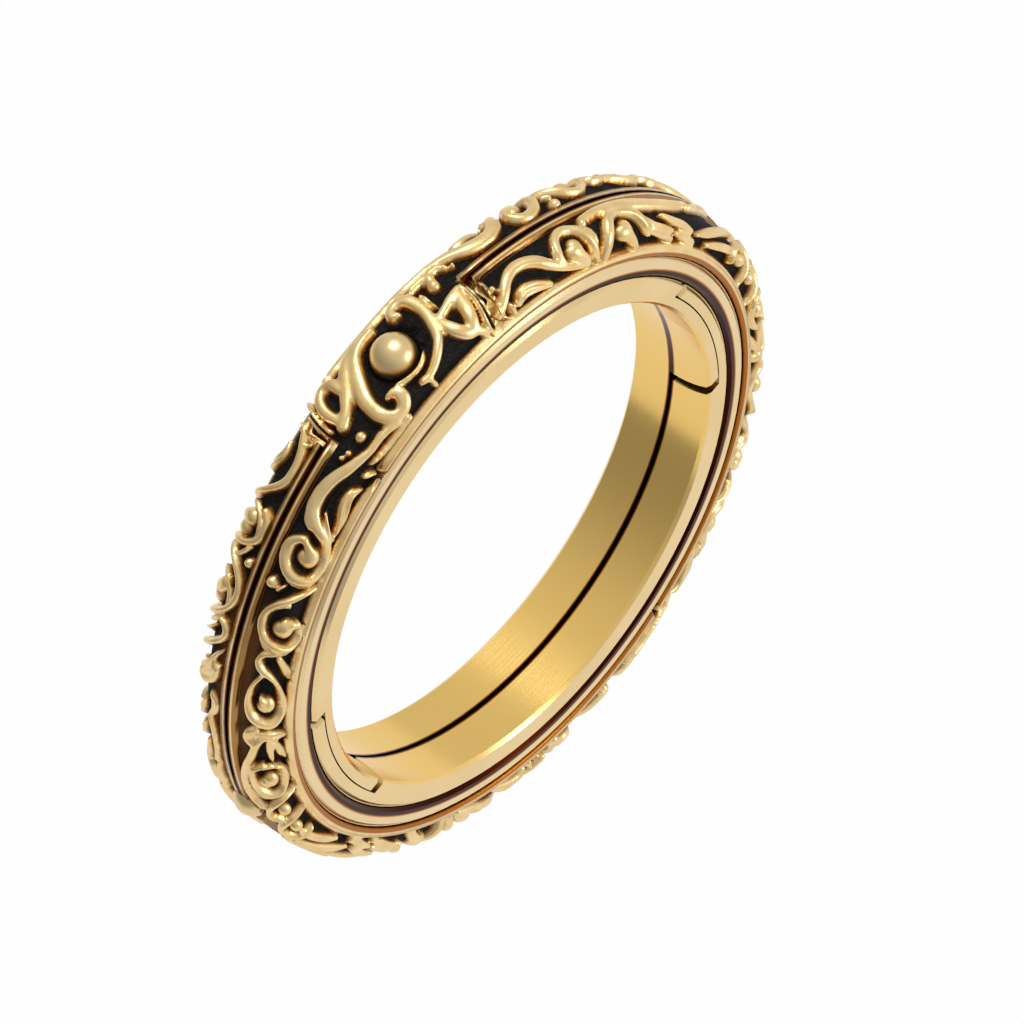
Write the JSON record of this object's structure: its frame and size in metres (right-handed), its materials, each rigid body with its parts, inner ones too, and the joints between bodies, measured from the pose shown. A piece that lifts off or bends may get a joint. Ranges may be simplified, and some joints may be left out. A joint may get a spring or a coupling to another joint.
{
  "type": "folding armillary finger ring",
  "caption": "Gold finger ring of nested bands that fan open about two crossed pivot axes into a small armillary sphere; scroll-carved outer bands, plain middle ring, polished lining.",
  "frame": {"origin": "centre of the closed ring, on the finger's axis at the middle of the ring's width", "axes": "+Y along the finger towards the back face, +Z towards the top ball-headed rivet, +X towards the right stud"},
  "size_m": [0.0254, 0.0034, 0.0258],
  "materials": {
    "carved_gold": "cast scrollwork in satin gold over a blackened ground",
    "pale_satin_gold": "satin",
    "polished_gold": "polished",
    "rivet_gold": "satin, a little brighter on the domes"
  },
  "bodies": {
    "frame_ring": {"middle_ring": "pale_satin_gold", "top_rivet": "rivet_gold", "bottom_rivet": "rivet_gold", "left_stud": "rivet_gold", "right_stud": "rivet_gold"},
    "carved_left": {"carved_band_left": "carved_gold"},
    "carved_right": {"carved_band_right": "carved_gold"},
    "lining_upper": {"lining_band_upper": "polished_gold"},
    "lining_lower": {"lining_band_lower": "polished_gold"}
  },
  "joints": [
    {"name": "carved_left_swing", "type": "hinge", "parent": "frame_ring", "child": "carved_left", "pos_m": [0, 0, 0], "axis": [0, 0, 1], "range_deg": [0, 55]},
    {"name": "carved_right_swing", "type": "hinge", "parent": "frame_ring", "child": "carved_right", "pos_m": [0, 0, 0], "axis": [0, 0, -1], "range_deg": [0, 55]},
    {"name": "lining_upper_swing", "type": "hinge", "parent": "frame_ring", "child": "lining_upper", "pos_m": [0, 0, 0], "axis": [1, 0, 0], "range_deg": [0, 55]},
    {"name": "lining_lower_swing", "type": "hinge", "parent": "frame_ring", "child": "lining_lower", "pos_m": [0, 0, 0], "axis": [-1, 0, 0], "range_deg": [0, 55]}
  ]
}
